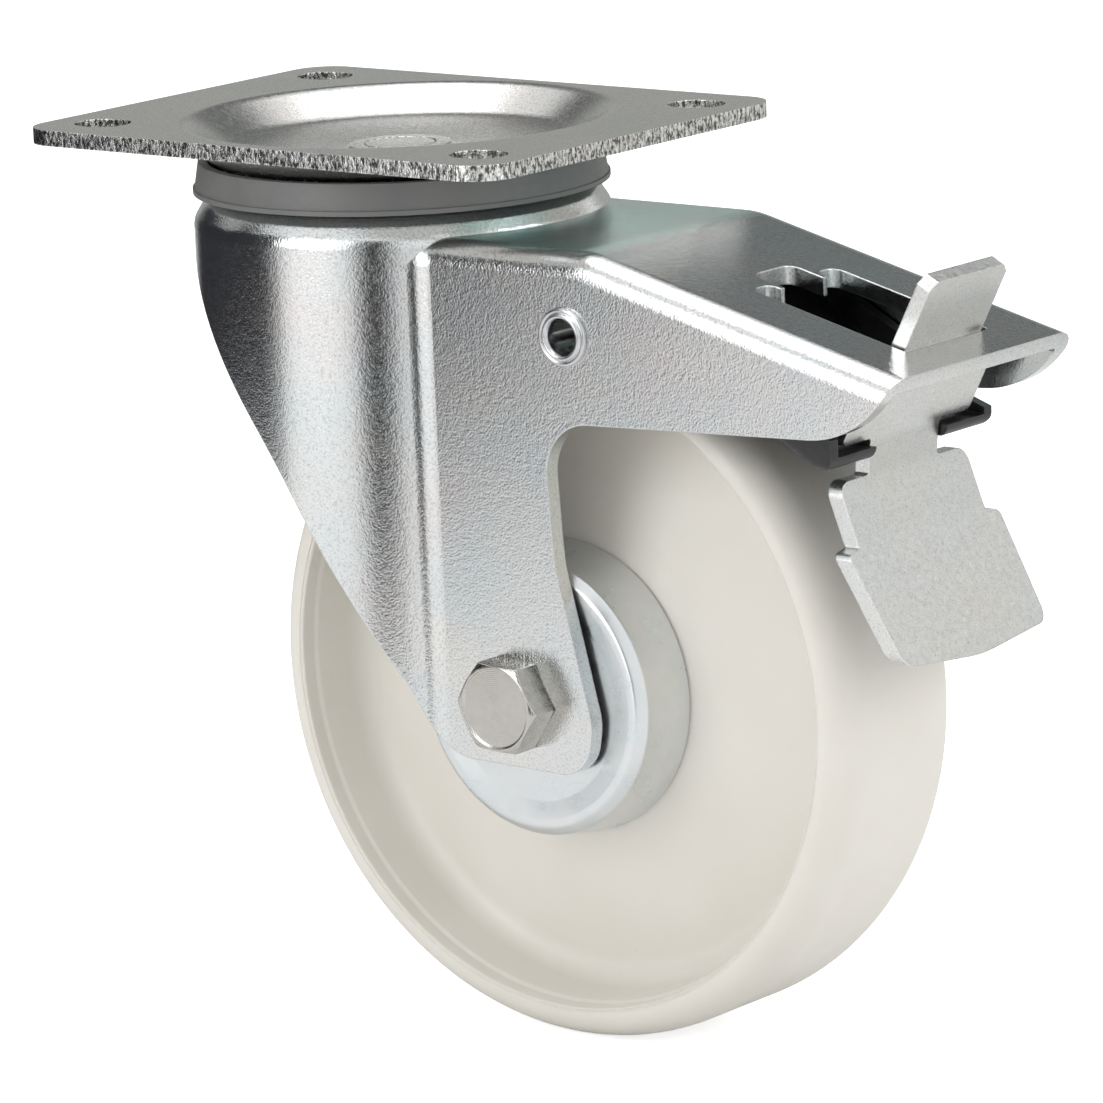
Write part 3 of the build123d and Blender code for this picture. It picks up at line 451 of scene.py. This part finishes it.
def turn_part(name, centre, corners, sides=256, solid=False):
    """Model a ring, or a solid with flat ends, about an axis along Y through centre."""
    profile = opened(corners)
    bpy.ops.object.select_all(action="DESELECT")
    start = (centre.x, centre.y + profile[0].y, centre.z)
    bpy.ops.mesh.primitive_circle_add(
        vertices=sides, radius=profile[0].x, location=start, rotation=(math.pi / 2, 0, 0),
        fill_type="NGON" if solid else "NOTHING")
    piece = bpy.context.object
    piece.name = name
    bpy.ops.object.transform_apply(location=True, rotation=True, scale=True)
    bpy.ops.object.mode_set(mode="EDIT")
    bpy.ops.mesh.select_all(action="SELECT")
    extrude = bpy.ops.mesh.extrude_region_move if solid else bpy.ops.mesh.extrude_edges_move
    rings = profile if solid else profile + profile[:1]
    for old, new in zip(rings, rings[1:]):
        extrude(TRANSFORM_OT_translate={"value": (0, new.y - old.y, 0)})
        bpy.ops.transform.resize(
            value=(new.x / old.x, 1, new.x / old.x),
            center_override=(centre.x, centre.y + new.y, centre.z))
    bpy.ops.mesh.select_all(action="SELECT")
    bpy.ops.mesh.remove_doubles(threshold=MERGE)
    bpy.ops.mesh.normals_make_consistent(inside=False)
    bpy.ops.object.mode_set(mode="OBJECT")
    bpy.ops.object.shade_smooth_by_angle(angle=SMOOTH)
    return piece


def far_twin(piece, name):
    """A mirrored copy on the far side, with its own mesh."""
    select_only(piece)
    bpy.ops.object.duplicate(linked=False)
    twin = bpy.context.object
    twin.name = name
    bpy.ops.object.mode_set(mode="EDIT")
    bpy.ops.mesh.select_all(action="SELECT")
    bpy.ops.transform.resize(value=(1, -1, 1), center_override=(0, 0, 0))
    bpy.ops.mesh.normals_make_consistent(inside=False)
    bpy.ops.object.mode_set(mode="OBJECT")
    return twin


def put_on(piece, finish, node, body):
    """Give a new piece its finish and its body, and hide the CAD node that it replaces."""
    piece.data.materials.clear()
    piece.data.materials.append(finish)
    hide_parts(node)
    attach(piece, body)


# %% [markdown]
# ## Wheel
# One moulding: a tread whose shoulders are quarter ellipses, a flat rim side with a small
# bead, a conical web and the hub. The bead's two edges make the fine double line that
# runs round the rim in the photograph.

# %% Wheel
HALF_WIDTH = 21.5
TREAD_HALF = 12.0
SHOULDER = (6.3, 9.5)
WEB_HALF = 2.5
HUB_HALF = 27.0
SEAT_RADIUS = 20.05
SEAT_HALF = 13.5
RIM_RADIUS = WHEEL_RADIUS / MM


def shoulder(side):
    """The tread's shoulder on one side, from the tread to the rim's flat."""
    corners = []
    for step in range(11):
        turn = math.radians(9 * step)
        radius = RIM_RADIUS - SHOULDER[0] * (1 - math.cos(turn))
        corners.append((radius, side * (TREAD_HALF + SHOULDER[1] * math.sin(turn)), 0))
    return corners


def wheel_side(side):
    """The wheel's side, from the rim's bead to the bearing seat."""
    return [
        (73.05, side * HALF_WIDTH, 0.12), (73.0, side * (HALF_WIDTH - 0.25), 0.1),
        (72.6, side * (HALF_WIDTH - 0.25), 0.1), (72.5, side * HALF_WIDTH, 0.1),
        (72.1, side * (HALF_WIDTH - 0.35), 0.3), (71.9, side * 18.0, 0.8), (71.2, side * 17.2, 0.5),
        (70.0, side * WEB_HALF, 5.0), (31.9, side * 14.3, 0), (29.7, side * HUB_HALF, 1.0),
        (SEAT_RADIUS, side * HUB_HALF, 0.4), (SEAT_RADIUS, side * SEAT_HALF, 0),
        (13.0, side * SEAT_HALF, 0),
    ]


near_half = shoulder(-1) + wheel_side(-1)
far_half = shoulder(1) + wheel_side(1)
wheel_piece = turn_part("wheel_moulding", AXLE, near_half + far_half[::-1], 288)
put_on(wheel_piece, wheel_plastic, "wheel", "wheel")

# %% [markdown]
# ## Hub caps
# A cap is drawn from strip: a tapered wall, a wide rounded shoulder round the edge of its
# face, and a face that drops in a shallow step towards the bolt.

# %% Hub caps
cap_profile = [
    (33.2, -14.5, 0.2), (31.35, -27.2, 1.6), (29.3, -29.1, 1.5), (27.4, -29.1, 0.9),
    (23.4, -28.7, 2.0), (14.6, -28.7, 0.4), (12.6, -28.95, 0.4),
    (12.0, -28.6, 0.2), (12.0, -27.8, 0), (28.4, -27.8, 0.6), (29.7, -26.6, 0.6), (31.8, -14.8, 0),
]
cap_near = turn_part("cap_near", AXLE, cap_profile)
cap_far = far_twin(cap_near, "cap_far")
put_on(cap_near, cap_zinc, "hub_cap_near", "wheel")
put_on(cap_far, cap_zinc, "hub_cap_far", "wheel")

# %% [markdown]
# ## Hollow rivets
# The brake hangs from two tubes whose ends are rolled over: a flange on the leg, a groove,
# and a round bead that flares into the bore.

# %% Hollow rivets
pivot_low, pivot_high = (Vector(corner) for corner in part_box("eyelet_near"))
PIVOT = Vector(((pivot_low.x + pivot_high.x) / 2, 0, (pivot_low.z + pivot_high.z) / 2))
LEG_FACE = -34.0
rivet_profile = [
    (4.6, LEG_FACE, 0), (6.43, LEG_FACE, 0.3), (6.4, -34.95, 0.5), (5.8, -35.25, 0.4),
    (5.35, -34.9, 0.15), (5.0, -35.55, 0.4), (4.35, -35.55, 0.4), (3.85, -34.7, 0.5),
    (3.7, -33.6, 0.6), (3.66, -25.4, 0.4), (4.3, -25.12, 0.2), (6.2, -25.12, 0.3),
    (6.4, -25.6, 0.3), (6.4, -26.65, 0), (4.6, -26.65, 0),
]
rivet_near = turn_part("rivet_near", PIVOT, rivet_profile, 96)
rivet_far = far_twin(rivet_near, "rivet_far")
put_on(rivet_near, race_steel, "eyelet_near", "fork")
put_on(rivet_far, race_steel, "eyelet_far", "fork")

# %% [markdown]
# ## Bolt and nut
# A hexagon is what a turned blank and a six-sided prism have in common, and that is how it
# is modelled: the blank's chamfer cuts the prism's corners into the curved edges that a
# real head has. The thread's ridges show at the far end.

# %% Bolt and nut
HEX_CORNER = 19.0 / 2 / math.cos(math.pi / 6)
HEAD_TURN = 3.0
HEAD_FACE = -41.5
NUT_FACE = 44.0
THREAD_RADIUS = 6.0
THREAD_CORE = 5.1
THREAD_PITCH = 1.75
THREAD_TURNS = 6
HEX_ROUNDING = 0.14


def joined(piece, tool, operation):
    """Apply a Boolean with a tool piece, and delete the tool."""
    cut = piece.modifiers.new("cut", "BOOLEAN")
    cut.operation = operation
    cut.object = tool
    cut.solver = "EXACT"
    select_only(piece)
    bpy.ops.object.modifier_apply(modifier=cut.name)
    bpy.data.objects.remove(tool)


def hexagon(name, low, high, turn_deg, corners):
    """A hexagon between two widths, cut to the form of a turned blank."""
    bpy.ops.object.select_all(action="DESELECT")
    middle = (AXLE.x, (low + high) / 2 * MM, AXLE.z)
    bpy.ops.mesh.primitive_cylinder_add(
        vertices=6, radius=HEX_CORNER * MM, depth=(high - low) * MM, location=middle,
        rotation=(math.pi / 2, math.radians(30 + turn_deg), 0))
    piece = bpy.context.object
    piece.name = name
    bpy.ops.object.transform_apply(location=True, rotation=True, scale=True)
    joined(piece, turn_part(name + "_blank", AXLE, corners, 192, True), "INTERSECT")
    return piece


def finished(piece, width):
    """Round every hard edge by a width in mm and shade the rest smooth."""
    rounding = piece.modifiers.new("rounding", "BEVEL")
    rounding.width = width * MM
    rounding.segments = 2
    rounding.limit_method = "ANGLE"
    rounding.angle_limit = math.radians(24)
    select_only(piece)
    bpy.ops.object.modifier_apply(modifier=rounding.name)
    bpy.ops.object.shade_smooth_by_angle(angle=SMOOTH)


head = hexagon("bolt_turned", HEAD_FACE, LEG_FACE, HEAD_TURN, [
    (8.7, HEAD_FACE + 0.4, 0), (8.9, HEAD_FACE, 0), (9.45, HEAD_FACE, 0),
    (11.2, HEAD_FACE + 1.0, 0), (11.2, LEG_FACE - 0.5, 0), (9.6, LEG_FACE, 0)])
shank_profile = [(THREAD_RADIUS, -38.0, 0)]
for count in range(THREAD_TURNS):
    start = 35.3 + count * THREAD_PITCH
    shank_profile += [
        (THREAD_RADIUS, start, 0), (THREAD_RADIUS, start + 0.25, 0),
        (THREAD_CORE, start + 0.95, 0), (THREAD_CORE, start + 1.1, 0)]
shank_profile += [(5.9, 45.3, 0), (5.2, 46.0, 0)]
joined(head, turn_part("shank", AXLE, shank_profile, 192, True), "UNION")
finished(head, HEX_ROUNDING)
put_on(head, bolt_steel, "axle_bolt", "fork")

nut = hexagon("nut_turned", -LEG_FACE, NUT_FACE, 0.0, [
    (9.6, -LEG_FACE, 0), (11.2, -LEG_FACE + 0.6, 0), (11.2, NUT_FACE - 1.0, 0),
    (9.45, NUT_FACE, 0), (7.2, NUT_FACE, 0), (6.9, NUT_FACE - 0.3, 0)])
bore = turn_part("bore", AXLE, [(6.1, 33.0, 0), (6.1, 45.0, 0)], 192, True)
joined(nut, bore, "DIFFERENCE")
finished(nut, HEX_ROUNDING)
put_on(nut, bolt_steel, "axle_nut", "fork")
print("modelled:", [piece.name for piece in (wheel_piece, cap_near, rivet_near, head, nut)])

# %% [markdown]
# ## Brake plate
# In the photograph the brake plate's walls are cut low towards the pedal: none shows beside
# the pedal's neck. The CAD plate's walls are higher there, so a copy of it is cut with two
# wedges, one across both walls and a lower one on the far wall.

# %% Brake plate
WEDGE_HEIGHT = 30.0


def wedge(name, low_y, high_y, front, rear):
    """A block that stands on a sloping line from front to rear, each (x, z) in mm."""
    bpy.ops.object.select_all(action="DESELECT")
    bpy.ops.mesh.primitive_cube_add(size=1.0)
    block = bpy.context.object
    block.name = name
    for vertex in block.data.vertices:
        x, z = rear if vertex.co.x > 0 else front
        top = WEDGE_HEIGHT if vertex.co.z > 0 else 0.0
        y = high_y if vertex.co.y > 0 else low_y
        vertex.co = (x * MM, y * MM, (z + top) * MM)
    return block


cad_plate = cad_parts["brake_plate"]
spring = bpy.data.objects.new("spring_plate", cad_plate.data.copy())
spring.matrix_world = cad_plate.matrix_world.copy()
bpy.context.collection.objects.link(spring)
select_only(spring)
bpy.ops.object.transform_apply(location=True, rotation=True, scale=True)
bpy.ops.object.mode_set(mode="EDIT")
bpy.ops.mesh.select_all(action="SELECT")
bpy.ops.mesh.remove_doubles(threshold=MERGE)
bpy.ops.mesh.normals_make_consistent(inside=False)
bpy.ops.object.mode_set(mode="OBJECT")
if spring.data.has_custom_normals:
    bpy.ops.mesh.customdata_custom_splitnormals_clear()
joined(spring, wedge("both_walls", -40.0, 40.0, (98.0, -34.5), (146.0, -60.5)), "DIFFERENCE")
joined(spring, wedge("far_wall", 5.0, 40.0, (124.0, -54.0), (146.0, -61.9)), "DIFFERENCE")
bpy.ops.object.shade_smooth_by_angle(angle=SMOOTH)
put_on(spring, black_coat, "brake_plate", "brake_plate")

# %% [markdown]
# ## Finishes onto the CAD parts
# A CAD part whose shape is right keeps its mesh. Only its material slots are filled. What
# isn't named here is a steel piece inside, or is hidden because a new piece replaces it.

# %% Finishes onto the CAD parts
finish_of = {
    "top_plate": plate_zinc, "kingpin": plate_zinc, "fork": fork_zinc,
    "brake_pedal": pedal_zinc, "seal_ring": ring_plastic,
}
for name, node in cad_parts.items():
    for material_slot in node.material_slots:
        material_slot.material = finish_of.get(name, race_steel)
print("dressed:", len(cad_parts), "nodes")

# %% [markdown]
# ## World and floor
# The photograph's background is pure white. The world shows white to the camera and to
# reflections, and lights the object with a plain grey. The floor is pale paper that also
# glows towards the camera, so it meets the background and still keeps a soft shadow.

# %% World and floor
ROOM_LIGHT = 0.62
FLOOR_GLOW = 0.72

world = bpy.data.worlds.new("white_room")
bpy.context.scene.world = world
world.use_nodes = True
ray = add_node(world, "ShaderNodeLightPath").outputs
mirrored = calc(world, "MAXIMUM", ray["Is Glossy Ray"], ray["Is Transmission Ray"])
seen = calc(world, "MAXIMUM", ray["Is Camera Ray"], mirrored)
background = world.node_tree.nodes["Background"]
background.inputs["Color"].default_value = (1, 1, 1, 1)
world.node_tree.links.new(
    ranged(world, seen, 0.0, 1.0, ROOM_LIGHT, 1.0), background.inputs["Strength"])

bpy.ops.object.select_all(action="DESELECT")
bpy.ops.mesh.primitive_plane_add(size=6.0, location=(0, 0, FLOOR_Z))
floor = bpy.context.object
floor.name = "floor"
paper = new_finish("floor_paper", 0.0, 0.9)
fibre = noise(paper, 60.0, 2.0, 0.5)
feed(paper, "Base Color", blend_colour(paper, fibre, (0.86, 0.86, 0.86), (0.88, 0.88, 0.88)))
matt = paper.node_tree.nodes["Principled BSDF"].outputs[0]
lift = add_node(paper, "ShaderNodeEmission", {"Strength": FLOOR_GLOW}).outputs[0]
lifted = add_node(paper, "ShaderNodeAddShader", {0: matt, 1: lift}).outputs[0]
to_camera = add_node(paper, "ShaderNodeLightPath").outputs["Is Camera Ray"]
show(paper, add_node(paper, "ShaderNodeMixShader", {0: to_camera, 1: matt, 2: lifted}))
floor.data.materials.append(paper)

# %% [markdown]
# ## Lamps
# Three large soft lamps: one above, one beside the camera on the left, one on the right.

# %% Lamps
def soft_lamp(name, place, aim, width, height, watts):
    """A large soft rectangle of light."""
    light = bpy.data.lights.new(name, "AREA")
    light.shape = "RECTANGLE"
    light.size = width
    light.size_y = height
    light.energy = watts
    lamp = bpy.data.objects.new(name, light)
    lamp.location = place
    lamp.rotation_euler = (Vector(aim) - Vector(place)).to_track_quat("-Z", "Y").to_euler()
    bpy.context.collection.objects.link(lamp)


MIDDLE = (0.04, 0.0, -0.10)
soft_lamp("top_light", (0.0, 0.1, 1.5), MIDDLE, 1.6, 1.2, 12.0)
soft_lamp("front_left_light", (-0.35, -1.5, 0.45), MIDDLE, 0.9, 1.1, 7.5)
soft_lamp("right_light", (1.5, 0.5, 0.5), MIDDLE, 0.8, 1.0, 6.0)

# %% [markdown]
# ## Cards for the reflections
# Bright metal shows only what stands around it. These cards stand in for the dark sides of
# the room: only reflections see them, and each fades out at its sides, so that the round
# crown gets bands with soft edges.

# %% Cards for the reflections
def card(name, azimuths, low, high, shade, fade, rise=0.0):
    """A card round the castor from one (distance, height) to another, for reflections only.

    It fades in over fade degrees at both sides, and over the share rise from its low edge.
    """
    bpy.ops.object.select_all(action="DESELECT")
    bpy.ops.mesh.primitive_grid_add(x_subdivisions=40, y_subdivisions=12, size=1.0)
    piece = bpy.context.object
    piece.name = name
    cover = piece.data.attributes.new("cover", "FLOAT", "POINT")
    for vertex in piece.data.vertices:
        angle = azimuths[0] + (vertex.co.x + 0.5) * (azimuths[1] - azimuths[0])
        inside = min(angle - azimuths[0], azimuths[1] - angle) / fade
        climb = vertex.co.y + 0.5
        if rise:
            inside = min(inside, climb / rise)
        cover.data[vertex.index].value = min(1.0, inside)
        distance = low[0] + climb * (high[0] - low[0])
        turn = math.radians(angle)
        height = low[1] + climb * (high[1] - low[1])
        vertex.co = (distance * math.cos(turn), distance * math.sin(turn), height)
    material = bpy.data.materials.new(name)
    material.use_nodes = True
    material.node_tree.nodes.remove(material.node_tree.nodes["Principled BSDF"])
    glow = add_node(material, "ShaderNodeEmission", {"Color": (*shade, 1.0), "Strength": 1.0})
    clear = add_node(material, "ShaderNodeBsdfTransparent")
    covered = add_node(material, "ShaderNodeAttribute", attribute_name="cover").outputs["Fac"]
    mix = {0: covered, 1: clear.outputs[0], 2: glow.outputs[0]}
    show(material, add_node(material, "ShaderNodeMixShader", mix))
    piece.data.materials.append(material)
    for ray in ("camera", "diffuse", "shadow", "transmission", "volume_scatter"):
        setattr(piece, "visible_" + ray, False)


LOW = FLOOR_Z + 1.0 * MM
FAR, BACK, BACK_JOIN = 1.6, 1.2, 0.38
DARK = (0.035, 0.035, 0.04)
PALE = (0.66, 0.66, 0.64)
card("left_floor_card", (146.0, 241.5), (0.48, LOW), (FAR, LOW), DARK, 8.0, 0.16)
card("left_card", (146.0, 240.5), (FAR, LOW), (FAR, 1.10), DARK, 7.0)
card("camera_card", (282.5, 304.5), (0.47, LOW), (0.47, 0.30), (0.02, 0.02, 0.02), 5.0)
card("back_card_low", (84.0, 158.0), (BACK, LOW), (BACK, BACK_JOIN), (0.42, 0.43, 0.41), 10.0)
card("back_card_high", (84.0, 158.0), (BACK, BACK_JOIN), (BACK, 1.25), (0.17, 0.18, 0.18), 10.0)
card("right_floor_card", (14.0, 84.0), (0.22, LOW), (FAR, LOW), PALE, 12.0, 0.1)
card("right_card", (14.0, 84.0), (FAR, LOW), (FAR, 0.9), PALE, 12.0)

# %% Finish
bpy.context.scene.view_settings.view_transform = "Standard"
